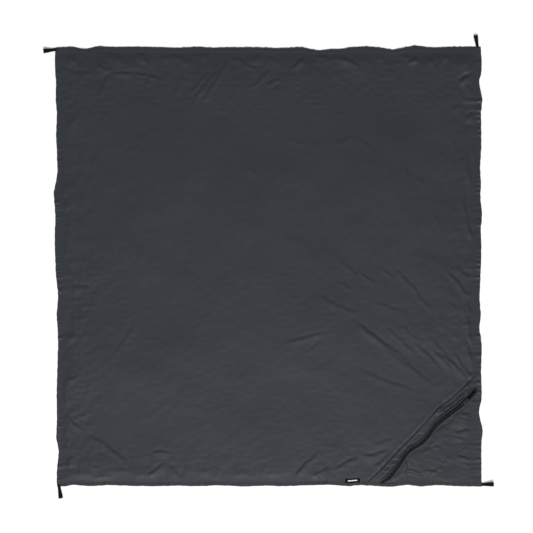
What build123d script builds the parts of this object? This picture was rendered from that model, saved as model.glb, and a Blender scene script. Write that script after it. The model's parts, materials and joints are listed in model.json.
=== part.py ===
"""A thin camp quilt that lies flat, with a peg loop at each corner and a zipped stow pocket in one corner.

The origin is the middle of the underside. X runs along the bottom edge, Y up the side edges and Z up from the
ground. The cloth layers share one form, which lies at one height along the hems and rises to another inside
them, so that each layer follows the one below it. All lengths are in millimetres.
"""

from build123d import *
import math
import os

# Quilt
quilt_width = 1400
quilt_length = 1440
side_hem = 16
bottom_hem = 10.5
rise_run = 8  # how far inside the hems the filled part reaches its full height
cloth = 0.3
layer_gap = 0.05

# Heights of each layer's underside, over the hems and over the filled part
backing_top = 0.6
fill_height = 2.35
face_edge = backing_top + layer_gap
face_top = face_edge + fill_height + layer_gap
tape_edge = face_edge + cloth + layer_gap
tape_top = 4.75
tape_thick = 0.4
panel_edge = tape_edge + cloth + layer_gap
panel_top = tape_top + tape_thick + layer_gap
binding_top = panel_edge + cloth + layer_gap
binding_wall = 0.4
hem_height = binding_top + cloth

# Stitching
thread = 0.5
thread_height = 0.15
outer_row = 4.5  # from the quilt's edge
inner_row = 2  # from the binding's inner fold
edge_row = 2.5  # from a pocket fold

# Pocket and zip: both run at 45 degrees across the corner
pocket_leg = 387  # from the corner to the seam, along either edge
zip_offset = 36  # from the seam to the middle of the zip
zip_slot_half = 5.6  # from the middle of the zip to each fold of the pocket cloth
tape_width = 14
coil_width = 2.5
coil_height = 1.5
coil_gap_half = 0.4
slider_from_middle = 140.6  # along the zip, from the point nearest the quilt's middle

# Zip slider
plate_thick = 0.9
wing_bottom = 3.6
wing_top = 6.9
slider_half_length = 6.2
channel_half = 3.2
flange_bottom = 5.4
post_half = 0.25
crown_half_length = 4
crown_half_width = 0.9
crown_leg = 1.4
crown_height = 2.5
crown_bar = 0.6
crown_round = 1
pin_height = 8.95
pin_radius = 0.5
tab_thick = 1
tab_window = 4.6
tab_length = 18
tab_half_width = 2.7
tab_arm_gap = 1.3
tab_end_half_width = 4.2
slot_start = 14.5
slot_end = 16.4
slot_half_width = 3.2
ribbon_thick = 0.6
ribbon_half_width = 3
ribbon_end = 48
ribbon_joins = 22  # where its two runs meet

# Peg loops
loop_length = 38  # from the quilt's edge to the tip
loop_width = 12
webbing = 0.9
loop_standoff = 1.6  # from the quilt's edge to the fold that the loop turns on
loop_ground_gap = 0.05
eye_radius = 3.5
eye_start = 12  # from the fold, where its two runs part
eye_start_radius = 0.2
eye_start_height = 1.95
tack_length = 10
tack_width = 1.6
tack_height = 0.3
tack_inset = 2.2

# Label
label_width = 49
label_height = 15
label_middle = 274.6
label_gap = 0.2

half_width = quilt_width / 2
half_length = quilt_length / 2
corner = (half_width, -half_length)
above_all = 20

os.makedirs("parts", exist_ok=True)


def finish(part, name):
    """Labels a finished piece and writes it as its own node."""
    part.label = name
    export_step(part, f"parts/{name}.step")


def inset_rectangle(side, bottom):
    """Width, length and middle of the quilt's outline drawn in by these distances."""
    width = quilt_width - 2 * side
    length = quilt_length - side - bottom
    return width, length, (0, (bottom - side) / 2)


def quilt_form(edge_height, top_height):
    """The space under a layer: edge_height thick over the hems, top_height over the filled part."""
    low_width, low_length, low_middle = inset_rectangle(side_hem, bottom_hem)
    top_width, top_length, top_middle = inset_rectangle(side_hem + rise_run, bottom_hem + rise_run)
    inner_width, inner_length, inner_middle = inset_rectangle(binding_wall, binding_wall)
    with BuildPart() as form:
        with BuildSketch():
            with Locations(inner_middle):
                Rectangle(inner_width, inner_length)
        extrude(amount=edge_height)
        with BuildSketch(Plane.XY.offset(edge_height)):
            with Locations(low_middle):
                Rectangle(low_width, low_length)
        with BuildSketch(Plane.XY.offset(top_height)):
            with Locations(top_middle):
                Rectangle(top_width, top_length)
        loft()
    return form.part


def corner_band(near, far):
    """Plan of the band that lies between two distances from the pocket seam, towards the corner."""
    near_leg = pocket_leg - near * math.sqrt(2)
    far_leg = pocket_leg - far * math.sqrt(2)
    points = [
        (corner[0] - near_leg, corner[1]),
        (corner[0], corner[1] + near_leg),
        (corner[0], corner[1] + far_leg),
        (corner[0] - far_leg, corner[1]),
    ]
    with BuildSketch() as band:
        Polygon(*points, align=None)
    return band.sketch


def inside_hems(margin):
    """Plan of the part of the quilt that the binding doesn't cover, drawn in by a margin."""
    width, length, middle = inset_rectangle(side_hem + margin, bottom_hem + margin)
    with BuildSketch() as plan:
        with Locations(middle):
            Rectangle(width, length)
    return plan.sketch


def mitred_side(outer, inner):
    """Plan of one side's binding, from its two outer corners to its two inner ones."""
    with BuildSketch() as plan:
        Polygon(*outer, *reversed(inner), align=None)
    return plan.sketch


# Layers of the quilt
under_face = quilt_form(face_edge, face_top)
over_face = quilt_form(face_edge + cloth, face_top + cloth)
under_tape = quilt_form(tape_edge, tape_top)
over_tape = quilt_form(tape_edge + cloth, tape_top + tape_thick)
under_panel = quilt_form(panel_edge, panel_top)
over_panel = quilt_form(panel_edge + cloth, panel_top + cloth)
over_thread = quilt_form(panel_edge + cloth + thread_height, panel_top + cloth + thread_height)
over_coil = quilt_form(tape_edge + cloth + coil_height, tape_top + tape_thick + coil_height)
over_label = quilt_form(face_edge + 2 * cloth, face_top + 2 * cloth)
over_label_thread = quilt_form(
    face_edge + 2 * cloth + thread_height, face_top + 2 * cloth + thread_height
)

with BuildPart() as backing_sheet:
    with BuildSketch():
        Rectangle(quilt_width - 2 * binding_wall, quilt_length - 2 * binding_wall)
    extrude(amount=backing_top)
    with BuildSketch():
        Rectangle(quilt_width, quilt_length)
        add(inside_hems(0), mode=Mode.SUBTRACT)
    extrude(amount=cloth, mode=Mode.SUBTRACT)
finish(backing_sheet.part, "backing_sheet")

with BuildPart() as fill_sheet:
    add(quilt_form(face_edge - layer_gap, face_top - layer_gap))
    with BuildSketch():
        add(inside_hems(0))
    extrude(amount=above_all, mode=Mode.INTERSECT)
    with BuildSketch():
        Rectangle(quilt_width, quilt_length)
    extrude(amount=backing_top, mode=Mode.SUBTRACT)
finish(fill_sheet.part, "fill_sheet")

with BuildPart() as face_sheet:
    add(over_face)
    add(under_face, mode=Mode.SUBTRACT)
finish(face_sheet.part, "face_sheet")

# Edge binding: one mitred strip a side, folded round the edge of the layers
outer_corners = [
    (-half_width, half_length),
    (half_width, half_length),
    (half_width, -half_length),
    (-half_width, -half_length),
]
inner_corners = [
    (-half_width + side_hem, half_length - side_hem),
    (half_width - side_hem, half_length - side_hem),
    (half_width - side_hem, -half_length + bottom_hem),
    (-half_width + side_hem, -half_length + bottom_hem),
]
for i, side in enumerate(["top", "right", "bottom", "left"]):
    ends = (i, (i + 1) % len(outer_corners))
    side_plan = mitred_side([outer_corners[n] for n in ends], [inner_corners[n] for n in ends])
    with BuildPart() as edge_binding:
        with BuildSketch():
            add(side_plan)
        extrude(amount=hem_height)
        with BuildSketch(Plane.XY.offset(cloth)):
            Rectangle(quilt_width - 2 * binding_wall, quilt_length - 2 * binding_wall)
        extrude(amount=binding_top - cloth, mode=Mode.SUBTRACT)
    finish(edge_binding.part, f"edge_binding_{side}")

# Hem stitching: two closed rows on top of the binding
rows = {
    "outer": (outer_row, outer_row),
    "inner": (side_hem - inner_row, bottom_hem - inner_row),
}
for row, (side_inset, bottom_inset) in rows.items():
    row_width, row_length, row_middle = inset_rectangle(side_inset, bottom_inset)
    with BuildPart() as hem_stitching:
        with BuildSketch(Plane.XY.offset(hem_height)):
            with Locations(row_middle):
                Rectangle(row_width + thread, row_length + thread)
                Rectangle(row_width - thread, row_length - thread, mode=Mode.SUBTRACT)
        extrude(amount=thread_height)
    finish(hem_stitching.part, f"hem_stitching_{row}")

# Pocket cloth
with BuildPart() as pocket_placket:
    add(over_panel)
    add(under_panel, mode=Mode.SUBTRACT)
    with BuildSketch():
        add(corner_band(0, zip_offset - zip_slot_half))
    extrude(amount=above_all, mode=Mode.INTERSECT)
finish(pocket_placket.part, "pocket_placket")

with BuildPart() as pocket_panel:
    add(over_panel)
    add(under_panel, mode=Mode.SUBTRACT)
    with BuildSketch():
        add(corner_band(zip_offset + zip_slot_half, pocket_leg / math.sqrt(2)))
    extrude(amount=above_all, mode=Mode.INTERSECT)
finish(pocket_panel.part, "pocket_panel")

stitch_lines = {
    "pocket_seam_stitching": edge_row,
    "zip_stitching_upper": zip_offset - zip_slot_half - edge_row,
    "zip_stitching_lower": zip_offset + zip_slot_half + edge_row,
}
for name, from_seam in stitch_lines.items():
    with BuildPart() as stitching:
        add(over_thread)
        add(over_panel, mode=Mode.SUBTRACT)
        with BuildSketch():
            add(corner_band(from_seam - thread / 2, from_seam + thread / 2))
            add(inside_hems(1), mode=Mode.INTERSECT)
        extrude(amount=above_all, mode=Mode.INTERSECT)
    finish(stitching.part, name)

# Zip tapes and coils, one of each on either side of the zip's middle
zip_sides = {
    "upper": (zip_offset - tape_width, zip_offset - coil_gap_half - coil_width, zip_offset - coil_gap_half),
    "lower": (zip_offset + tape_width, zip_offset + coil_gap_half + coil_width, zip_offset + coil_gap_half),
}
for side, (tape_edge_line, coil_edge_line, middle_line) in zip_sides.items():
    with BuildPart() as zip_tape:
        add(over_tape)
        add(under_tape, mode=Mode.SUBTRACT)
        with BuildSketch():
            add(corner_band(*sorted((tape_edge_line, middle_line))))
        extrude(amount=above_all, mode=Mode.INTERSECT)
    finish(zip_tape.part, f"zip_tape_{side}")

    with BuildPart() as zip_coil:
        add(over_coil)
        add(over_tape, mode=Mode.SUBTRACT)
        with BuildSketch():
            add(corner_band(*sorted((coil_edge_line, middle_line))))
            add(inside_hems(1), mode=Mode.INTERSECT)
        extrude(amount=above_all, mode=Mode.INTERSECT)
    finish(zip_coil.part, f"zip_coil_{side}")

# Zip slider: its plane has X along the zip towards the right-hand edge and its origin on the zip's middle
seam_sum = (corner[0] - pocket_leg - corner[1]) / math.sqrt(2)
from_origin = seam_sum + zip_offset
slider_x = (from_origin + slider_from_middle) / math.sqrt(2)
slider_y = (slider_from_middle - from_origin) / math.sqrt(2)
zip_plane = Plane(origin=(slider_x, slider_y, 0), x_dir=(1, 1, 0), z_dir=(0, 0, 1))
side_plane = Plane(origin=(slider_x, slider_y, 0), x_dir=(1, 1, 0), z_dir=(1, -1, 0))


def slider_plan():
    """Plan of the slider's two wings: broad shoulders at the front and a narrower tail."""
    with BuildSketch() as plan:
        with Locations((slider_half_length - 2.6, 1.9), (slider_half_length - 2.6, -1.9)):
            Circle(2.6)
        with Locations((-slider_half_length + 1.2, 3.2), (-slider_half_length + 1.2, -3.2)):
            Circle(1.2)
        make_hull()
    return plan.sketch


wing = slider_plan()
with BuildPart() as slider_body:
    with BuildSketch(zip_plane.offset(wing_bottom)):
        add(wing)
    extrude(amount=plate_thick)
    with BuildSketch(zip_plane.offset(wing_top)):
        add(wing)
    extrude(amount=plate_thick)
    with BuildSketch(zip_plane.offset(flange_bottom)):
        add(wing)
        Rectangle(3 * slider_half_length, 2 * channel_half, mode=Mode.SUBTRACT)
    extrude(amount=wing_top - flange_bottom)
    with BuildSketch(zip_plane.offset(wing_bottom)):
        with Locations((slider_half_length - 2.6, 0)):
            SlotOverall(3.4, 2 * post_half)
    extrude(amount=wing_top - wing_bottom)
finish(slider_body.part, "slider_body")

plate_top = wing_top + plate_thick
with BuildPart() as slider_crown:
    with BuildSketch(side_plane):
        with Locations((0, plate_top)):
            Rectangle(2 * crown_half_length, crown_height, align=(Align.CENTER, Align.MIN))
            Rectangle(
                2 * (crown_half_length - crown_leg),
                crown_height - crown_bar,
                align=(Align.CENTER, Align.MIN),
                mode=Mode.SUBTRACT,
            )
    extrude(amount=crown_half_width, both=True)
    across = slider_crown.edges().filter_by(Axis((0, 0, 0), (1, -1, 0)))
    fillet(across.group_by(Axis.Z)[-1], crown_round)
finish(slider_crown.part, "slider_crown")

with BuildPart() as pull_tab:
    with BuildSketch(zip_plane.offset(pin_height - tab_thick / 2)):
        with BuildLine():
            Polyline(
                (0, -tab_half_width),
                (tab_window + 4, -tab_half_width),
                (slot_start - 1.5, -tab_end_half_width),
                (tab_length, -tab_end_half_width),
                (tab_length, tab_end_half_width),
                (slot_start - 1.5, tab_end_half_width),
                (tab_window + 4, tab_half_width),
                (0, tab_half_width),
                close=True,
            )
        make_face()
        with Locations((tab_window / 2, 0)):
            Rectangle(tab_window, 2 * tab_arm_gap, mode=Mode.SUBTRACT)
        with Locations(((slot_start + slot_end) / 2, 0)):
            Rectangle(slot_end - slot_start, 2 * slot_half_width, mode=Mode.SUBTRACT)
    extrude(amount=tab_thick)
    with BuildSketch(side_plane):
        with Locations((0, pin_height)):
            Circle(pin_radius)
    extrude(amount=tab_half_width, both=True)
finish(pull_tab.part, "pull_tab")

with BuildPart() as puller_ribbon:
    bar_clear = 0.1
    inner_low = pin_height - tab_thick / 2 - bar_clear
    inner_high = pin_height + tab_thick / 2 + bar_clear
    with BuildSketch(side_plane):
        Polygon(
            (slot_end - bar_clear - ribbon_thick, inner_low),
            (slot_end - bar_clear, inner_low - ribbon_thick),
            (tab_length + bar_clear, inner_low - ribbon_thick),
            (ribbon_joins, pin_height - ribbon_thick),
            (ribbon_end, pin_height - ribbon_thick),
            (ribbon_end, pin_height + ribbon_thick),
            (ribbon_joins, pin_height + ribbon_thick),
            (tab_length + bar_clear, inner_high + ribbon_thick),
            (slot_end - bar_clear, inner_high + ribbon_thick),
            (slot_end - bar_clear - ribbon_thick, inner_high),
            align=None,
        )
        Polygon(
            (slot_end - bar_clear, inner_low),
            (tab_length + bar_clear, inner_low),
            (ribbon_joins - 1, pin_height),
            (tab_length + bar_clear, inner_high),
            (slot_end - bar_clear, inner_high),
            align=None,
            mode=Mode.SUBTRACT,
        )
    extrude(amount=ribbon_half_width, both=True)
finish(puller_ribbon.part, "puller_ribbon")

# Peg loops: each leaves one edge near a corner, leans along that edge and ends in a round eye.
# Each entry holds the point where the loop's middle crosses the edge, the outward direction, the edge's own
# direction and the lean in degrees towards it.
loops = {
    "top_left": ((-half_width, half_length - 7), (-1, 0), (0, 1), -8),
    "top_right": ((half_width - 12.5, half_length), (0, 1), (1, 0), -11.6),
    "bottom_right": ((half_width, -half_length + 7), (1, 0), (0, 1), 2),
    "bottom_left": ((-half_width + 8, -half_length), (0, -1), (1, 0), 12.3),
}
eye_centre = loop_length - loop_standoff - eye_radius - webbing
for name, (edge_point, outward, along, lean) in loops.items():
    outwards = Vector(*outward, 0)
    along_edge = Vector(*along, 0)
    loop_dir = outwards + along_edge * math.tan(math.radians(lean))
    fold_point = Vector(*edge_point, 0) + outwards * loop_standoff
    profile_plane = Plane(
        origin=fold_point - along_edge * (loop_width / 2),
        x_dir=loop_dir,
        z_dir=loop_dir.cross(Vector(0, 0, 1)),
    )
    with BuildPart() as peg_loop:
        with BuildSketch(profile_plane):
            with Locations((0, webbing + loop_ground_gap)):
                Circle(webbing)
            with Locations((eye_centre, eye_radius + webbing + loop_ground_gap)):
                Circle(eye_radius + webbing)
            make_hull()
        extrude(amount=loop_width, dir=along_edge)
        with BuildSketch(profile_plane):
            with Locations((eye_start, eye_start_height)):
                Circle(eye_start_radius)
            with Locations((eye_centre, eye_radius + webbing + loop_ground_gap)):
                Circle(eye_radius)
            make_hull()
        extrude(amount=loop_width, dir=along_edge, mode=Mode.SUBTRACT)
    finish(peg_loop.part, f"peg_loop_{name}")

# Bar tacks: one across each loop's hidden tail, on top of the binding
with BuildPart() as loop_bar_tacks:
    for edge_point, outward, along, lean in loops.values():
        tack_middle = Vector(*edge_point, 0) - Vector(*outward, 0) * tack_inset
        tack_plane = Plane(origin=tack_middle, x_dir=Vector(*along, 0), z_dir=(0, 0, 1))
        with BuildSketch(tack_plane.offset(hem_height)):
            Rectangle(tack_length, tack_width)
        extrude(amount=tack_height)
finish(loop_bar_tacks.part, "loop_bar_tacks")

# Label: laid on the face sheet against the bottom binding, sewn down along its top and ends
label_low = -half_length + bottom_hem + label_gap


def label_plan(margin):
    """Plan of the label drawn in by a margin."""
    with BuildSketch() as plan:
        with Locations((label_middle, label_low + label_height / 2)):
            Rectangle(label_width - 2 * margin, label_height - 2 * margin)
    return plan.sketch


with BuildPart() as woven_label:
    add(over_label)
    add(over_face, mode=Mode.SUBTRACT)
    with BuildSketch():
        add(label_plan(0))
    extrude(amount=above_all, mode=Mode.INTERSECT)
finish(woven_label.part, "woven_label")

with BuildPart() as label_stitching:
    add(over_label_thread)
    add(over_label, mode=Mode.SUBTRACT)
    with BuildSketch():
        add(label_plan(1))
        add(label_plan(1 + thread), mode=Mode.SUBTRACT)
    extrude(amount=above_all, mode=Mode.INTERSECT)
finish(label_stitching.part, "label_stitching")
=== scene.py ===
"""The looks of the camp quilt: its cloth, binding, stitching, zip, loops and label, around the CAD frame.

The cloth is laid out flat first, in the CAD's own plan. Each layer then gets its height from one family of
functions, and the plan is drawn in and out along the quilt's uneven edges. Lengths are in metres, except in
the tables of listed points, which are in millimetres.
"""
import bpy
import json
import math
import numpy as np
from collections import namedtuple
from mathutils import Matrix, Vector


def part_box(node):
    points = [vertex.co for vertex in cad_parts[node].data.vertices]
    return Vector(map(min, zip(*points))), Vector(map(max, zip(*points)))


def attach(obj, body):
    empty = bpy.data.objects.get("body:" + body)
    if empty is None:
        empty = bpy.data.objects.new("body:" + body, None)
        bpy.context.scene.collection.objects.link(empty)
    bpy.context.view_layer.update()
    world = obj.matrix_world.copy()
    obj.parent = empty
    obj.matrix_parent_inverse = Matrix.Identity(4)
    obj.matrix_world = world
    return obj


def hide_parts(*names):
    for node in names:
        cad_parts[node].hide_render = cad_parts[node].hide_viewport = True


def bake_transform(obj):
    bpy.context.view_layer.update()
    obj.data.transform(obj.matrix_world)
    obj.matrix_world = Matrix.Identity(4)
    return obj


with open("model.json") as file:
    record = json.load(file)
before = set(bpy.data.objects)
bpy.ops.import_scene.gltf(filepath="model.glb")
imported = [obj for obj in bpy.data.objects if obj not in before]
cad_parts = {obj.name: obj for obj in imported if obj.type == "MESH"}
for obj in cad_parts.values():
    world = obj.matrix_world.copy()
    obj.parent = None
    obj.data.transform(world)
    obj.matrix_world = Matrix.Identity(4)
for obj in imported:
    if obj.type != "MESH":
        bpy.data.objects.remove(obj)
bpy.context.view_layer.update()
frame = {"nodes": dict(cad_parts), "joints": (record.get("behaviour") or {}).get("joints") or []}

mm = 0.001

# Sizes from the frame
half_width = float(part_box("edge_binding_right")[1][0])
half_length = float(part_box("edge_binding_top")[1][1])
side_hem = half_width - float(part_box("edge_binding_right")[0][0])
bottom_hem = half_length + float(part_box("edge_binding_bottom")[1][1])
hem_top = float(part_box("edge_binding_top")[1][2])
JOINTS = {j["name"]: j for j in frame["joints"]}
slider_place = np.array(JOINTS["pull_tab_hinge"]["pos_m"])
tape_height = float(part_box("zip_tape_upper")[1][2])
corner_reach = (half_width - slider_place[0] + slider_place[1] + half_length) / math.sqrt(2)
seam_to_zip = 36 * mm
fold_gap = 5.6 * mm

# How each edge wanders: (place along the edge, how far out), in mm. The left and right edges are listed
# upwards, and the top and bottom edges to the right.
EDGES = {
    "left": [
        (-720, -5), (-674, -4), (-640, -8), (-612, -11), (-592, -9), (-560, -2), (-515, -5), (-420, -4),
        (-340, -6), (-250, -9), (-205, -7), (-155, -4), (-100, -9), (-65, -6), (-20, -1), (60, 2), (115, 2),
        (165, 0), (205, 3), (245, 6), (275, -1), (308, -7), (370, -5), (430, -2), (500, -5), (545, -1),
        (600, -2), (660, 2), (700, 1), (720, 0),
    ],
    "right": [
        (-720, -2), (-600, -3), (-565, -2), (-540, 3), (-515, -3), (-480, -11), (-455, -7), (-430, -1),
        (-400, -2), (-340, -4), (-262, -1), (-225, -5), (-200, -10), (-160, -4), (-105, -9), (-40, -6),
        (30, -3), (75, -3), (125, -5), (172, 0), (225, -6), (270, -4), (330, -7), (390, -3), (450, -3),
        (507, -4), (546, 1), (570, -3), (605, -11), (640, -2), (680, -2), (720, -5),
    ],
    "top": [
        (-700, 0), (-650, 3), (-625, -1), (-605, -5), (-585, -1), (-560, 5), (-520, 2), (-435, 3),
        (-350, 1), (-300, -1), (-235, 3), (-180, -1), (-150, 1), (-50, 1), (35, -2), (104, 2), (124, -2),
        (160, -10), (200, -5), (240, -4), (265, 1), (315, 4), (360, 1), (403, -7), (435, -2), (475, 7),
        (510, 3), (540, 0), (600, 3), (700, 3),
    ],
    "bottom": [
        (-700, 0), (-670, -1), (-642, -6), (-590, -1), (-525, -5), (-450, -2), (-370, -1), (-300, -3),
        (-240, -1), (-165, -4), (-80, 0), (-15, -3), (50, -1), (120, -4), (200, -6), (258, -1), (302, -5),
        (345, -2), (400, 1), (455, -6), (495, 0), (552, -5), (620, -1), (700, 0),
    ],
}

# Creases in the face sheet: (x and y of one end, x and y of the other, height, half-width), in mm
CREASES = [
    (-126, 690, -224, 530, 1.6, 5), (-150, 682, -252, 546, 1.3, 5), (-181, 650, -275, 540, 1.1, 5),
    (-126, 690, -16, 628, 1.2, 5), (11, 655, -55, 584, 1.5, 4), (44, 617, -16, 595, 1.2, 4),
    (115, 690, 72, 645, 2.2, 6), (-420, 705, -397, 668, 2.4, 5), (-400, 680, -385, 622, 1.8, 4.5),
    (-387, 634, -402, 590, 1.2, 4), (-538, 682, -512, 636, 1.8, 4.5), (-570, 660, -519, 637, 1.8, 5),
    (-519, 640, -557, 552, 1.5, 4.5), (-520, 638, -440, 632, 1.5, 4.5), (-450, 634, -350, 614, 1.5, 4.5),
    (-676, 640, -560, 640, 0.9, 6), (-284, 640, -316, 552, 1.0, 4.5), (-218, 588, -256, 526, 1.0, 4),
    (-664, 706, -627, 662, 1.9, 5), (-644, 706, -620, 648, 1.6, 5), (-606, 706, -586, 682, 1.5, 5),
    (-684, 660, -652, 640, 1.8, 5), (-690, 690, -655, 655, 1.3, 5), (-500, 706, -480, 670, 1.5, 5),
    (-460, 706, -450, 676, 1.2, 5), (-350, 706, -330, 676, 1.3, 5), (-40, 706, -60, 670, 1.4, 5),
    (-115, 579, -140, 536, 1.0, 4), (-662, 470, -620, 494, 1.0, 6), (213, 398, 279, 431, 1.1, 5),
    (279, 431, 340, 390, 1.1, 5), (46, 422, 130, 408, 0.9, 5), (443, 330, 461, 268, 1.0, 5),
    (492, 297, 516, 258, 1.0, 4), (-75, 329, -34, 304, 0.8, 5), (170, 706, 205, 672, 1.8, 6),
    (235, 704, 266, 680, 2.4, 6), (249, 684, 300, 648, 1.8, 5.5), (296, 706, 322, 676, 1.8, 5),
    (360, 706, 380, 680, 1.4, 5), (450, 662, 488, 682, 2.4, 5.5), (518, 706, 540, 664, 1.8, 5),
    (560, 706, 590, 684, 1.6, 6), (620, 600, 684, 638, 3.2, 7), (632, 700, 668, 640, 1.4, 9),
    (600, 690, 684, 680, 1.4, 6), (652, 600, 676, 560, 2.0, 5), (644, 484, 684, 512, 2.4, 5),
    (598, 510, 628, 536, 1.0, 5), (655, 400, 666, 262, 1.6, 5), (633, 225, 652, 150, 1.4, 5),
    (648, 165, 670, 84, 1.8, 5), (668, 330, 672, 190, 1.2, 4), (541, 176, 565, 116, 1.0, 5),
    (148, -88, 300, -152, 1.1, 5), (270, -168, 415, -285, 1.4, 5.5), (371, -190, 490, -296, 1.0, 5),
    (431, -186, 505, -250, 0.7, 5), (471, -246, 562, -340, 1.2, 5), (532, -262, 612, -345, 1.4, 4.5),
    (330, -108, 465, -152, 0.7, 5), (290, -11, 356, -66, 1.2, 4), (364, 3, 412, -38, 1.1, 4),
    (404, 6, 541, -158, 1.3, 4.5), (572, -2, 669, -108, 1.7, 5), (613, 3, 667, -38, 1.3, 5),
    (257, -176, 498, -362, 0.9, 7), (279, -329, 509, -416, 0.9, 7), (350, -250, 560, -400, 0.9, 6),
    (213, 34, 300, -45, 0.9, 5), (215, -40, 290, -78, 0.8, 5), (650, -150, 664, -258, 1.6, 5),
    (38, -252, 197, -214, 1.3, 5), (126, -280, 175, -238, 1.0, 5), (541, -274, 660, -378, 1.6, 5),
    (605, -280, 676, -372, 1.5, 5), (509, -219, 629, -340, 1.0, 6), (640, -230, 672, -330, 1.3, 5),
    (-680, -466, -607, -542, 1.6, 5), (-607, -542, -454, -657, 1.7, 6), (-645, -493, -594, -482, 1.0, 5),
    (-388, -602, -315, -612, 1.2, 5), (-405, -700, -334, -641, 1.6, 5), (-334, -641, -275, -704, 1.5, 5),
    (-670, -367, -618, -362, 1.1, 5), (-432, -176, -520, -307, 0.8, 6), (-410, 67, -432, 8, 0.8, 6),
    (-668, -66, -574, -77, 1.0, 7), (172, -600, 82, -697, 1.7, 5), (197, -657, 137, -692, 1.2, 4),
    (208, -672, 301, -624, 1.5, 6), (301, -624, 400, -598, 1.3, 6), (396, -606, 340, -664, 1.4, 5),
    (330, -590, 420, -560, 1.0, 6), (-30, -690, -10, -640, 1.0, 5), (-180, -700, -165, -668, 1.0, 4),
]

# Where the zip runs: (place along it from the slider, how far towards the corner), in mm
ZIP_BENDS = [
    (-420, -9), (-400, -8), (-378, -5), (-352, 0), (-329, -3), (-298, -7.5), (-265, -14.5), (-248, -17),
    (-225, -13.5), (-197, -6), (-174, -6), (-150, -9), (-126, -14), (-96, -11.5), (-61, -7), (-22, -0.8),
    (0, 0), (24, 0), (50, 0), (70, 2), (90, 3.5),
]

# Where the pocket's seam runs: (place along the zip's frame, how far from straight), in mm
SEAM_BENDS = [
    (-480, 0), (-417, -1.5), (-330, -3), (-260, -6), (-235, -7), (-218, -5), (-160, -7.5), (-111, -9.5),
    (-75, -11), (-58, -10.5), (-44, -7), (-20, -4), (-2, -3), (40, -1), (81, 0), (120, 0),
]

# How much further than fold_gap the placket's fold stands from the zip: (place along it, how much), in mm
SLOT_OPENING = [
    (-480, -1.2), (-330, -1.2), (-190, -1), (-140, -0.5), (-112, 0.5), (-60, 1.5), (-20, 1.5), (20, 1.5),
    (60, 1), (120, 0),
]

# Creases in the placket, in the zip's own frame: (along, across, along, across, height, half-width), in mm
PLACKET_CREASES = [
    (-100, -33, -20, -18, 2.6, 2.6), (-34, -20, 44, -19, 2.6, 2.6), (20, -20, 60, -26, 1.8, 3),
    (-58, -44, -74, -16, 1.8, 4), (-62, -46, -98, -24, 1.6, 4), (-120, -36, -60, -34, 1.0, 4),
    (-250, -34, -215, -14, 1.1, 4), (-300, -36, -280, -12, 1.2, 4), (-330, -38, -300, -16, 1.3, 4),
    (-352, -36, -330, -12, 1.1, 4), (-180, -40, -160, -18, 0.9, 4), (30, -34, 70, -22, 1.2, 4),
]

# Creases in the pocket's cloth, as in CREASES
POCKET_CREASES = [
    (520, -690, 569, -651, 1.3, 5), (569, -651, 600, -622, 1.2, 5), (569, -651, 575, -697, 1.1, 4),
    (446, -676, 508, -690, 1.3, 4), (449, -664, 500, -676, 1.1, 4), (500, -668, 556, -673, 1.0, 4),
    (620, -604, 690, -584, 1.5, 5), (606, -618, 688, -630, 1.6, 5), (596, -556, 650, -566, 1.3, 5),
    (600, -548, 690, -532, 1.6, 6), (628, -478, 686, -486, 1.6, 6), (612, -500, 686, -512, 1.2, 6),
    (492, -622, 552, -560, 1.2, 6), (448, -622, 449, -704, 2.0, 4), (520, -600, 566, -592, 0.9, 6),
    (640, -640, 684, -660, 1.4, 5), (600, -668, 660, -690, 1.1, 5), (556, -540, 620, -498, 1.2, 6),
]

# Stitching
stitch_length = 2.6 * mm
stitch_pitch = 3.3 * mm
stitch_radius = 0.28 * mm
outer_row = 4.5 * mm
inner_row = 2 * mm

# Heights above the ground
face_floor = 1.3 * mm
face_low = 1.7 * mm
face_high = 3.5 * mm
panel_low = 1.7 * mm
panel_high = 5.4 * mm
coil_middle = tape_height + 0.75 * mm

# Gaps between what lies on top of something and what it lies on
cloth_gap = 0.45 * mm
binding_gap = 0.35 * mm
label_gap = 0.35 * mm
thread_gap = 0.12 * mm

UP = np.array([0.0, 0.0, 1.0])


# --- Shaping helpers ---


def smooth(t):
    """An even step from 0 to 1 as t goes from 0 to 1."""
    t = np.clip(t, 0, 1)
    return t * t * (3 - 2 * t)


def waves(x, y, seed, length, count=14):
    """A random, even field of about unit height whose ripples are about length long."""
    rng = np.random.default_rng(seed)
    total = np.zeros(np.broadcast(x, y).shape)
    for _ in range(count):
        turn = rng.uniform(0, 2 * math.pi)
        number = 2 * math.pi / (length * rng.uniform(0.7, 1.5))
        phase = rng.uniform(0, 2 * math.pi)
        total += np.sin(number * (x * math.cos(turn) + y * math.sin(turn)) + phase)
    return total * math.sqrt(2 / count)


def ripples(s, seed, length):
    """A random line of about unit height along one coordinate."""
    return waves(s, np.zeros_like(s), seed, length, 9)


def smooth_line(pairs, blur):
    """A function through given (place, value) pairs in mm, rounded over blur, in metres."""
    places, values = np.array(pairs, float).T * mm
    fine = np.arange(places[0], places[-1], 1 * mm)
    kernel = np.exp(-(np.arange(-3 * blur, 3 * blur, 1 * mm) / blur) ** 2)
    straight = np.interp(fine, places, values)
    padded = np.pad(straight, len(kernel) // 2, mode="edge")
    rounded = np.convolve(padded, kernel / kernel.sum(), mode="same")
    rounded = rounded[len(kernel) // 2 : len(kernel) // 2 + len(fine)]
    return lambda at: np.interp(at, fine, rounded)


edge_lines = {side: smooth_line(pairs, 8 * mm) for side, pairs in EDGES.items()}
zip_bend = smooth_line(ZIP_BENDS, 7 * mm)
seam_bend = smooth_line(SEAM_BENDS, 6 * mm)
slot_opening = smooth_line(SLOT_OPENING, 9 * mm)


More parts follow.
